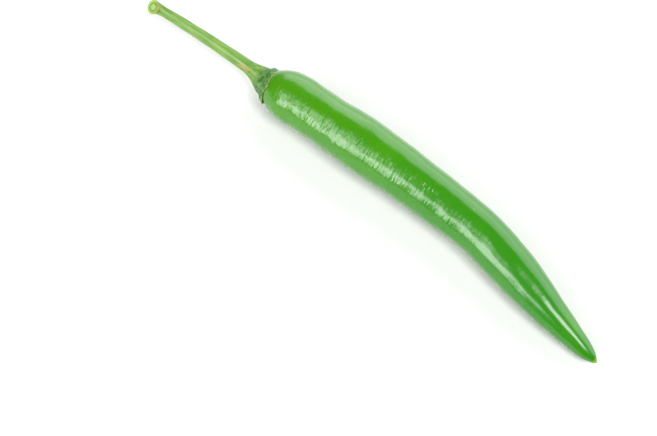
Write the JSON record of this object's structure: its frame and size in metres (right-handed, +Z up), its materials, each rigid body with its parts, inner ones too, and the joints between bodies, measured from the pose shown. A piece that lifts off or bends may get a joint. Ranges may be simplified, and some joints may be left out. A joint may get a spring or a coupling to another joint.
{
  "type": "chilli pepper",
  "caption": "Long, gently bent green chilli pepper with a tapering pod, a lobed cap and a ridged, hooked stalk, lying on its side as picked.",
  "frame": {"origin": "bottom centre of the bounding box, on the surface that the chilli lies on", "axes": "+X along the chilli from the stalk's end to the pod's tip, +Z up from the resting surface; the pod bends in the XY plane and its tip turns towards -Y"},
  "size_m": [0.1862, 0.0214, 0.0174],
  "materials": {
    "pod_skin": "smooth waxy fruit skin, glossy, finely wrinkled across near the cap",
    "calyx_skin": "wrinkled leafy tissue with a thin corky rim, satin",
    "stem_skin": "ridged fibrous stalk, satin, with small corky scars"
  },
  "bodies": {
    "root": {"pod": "pod_skin", "calyx": "calyx_skin", "stem": "stem_skin"}
  },
  "joints": []
}
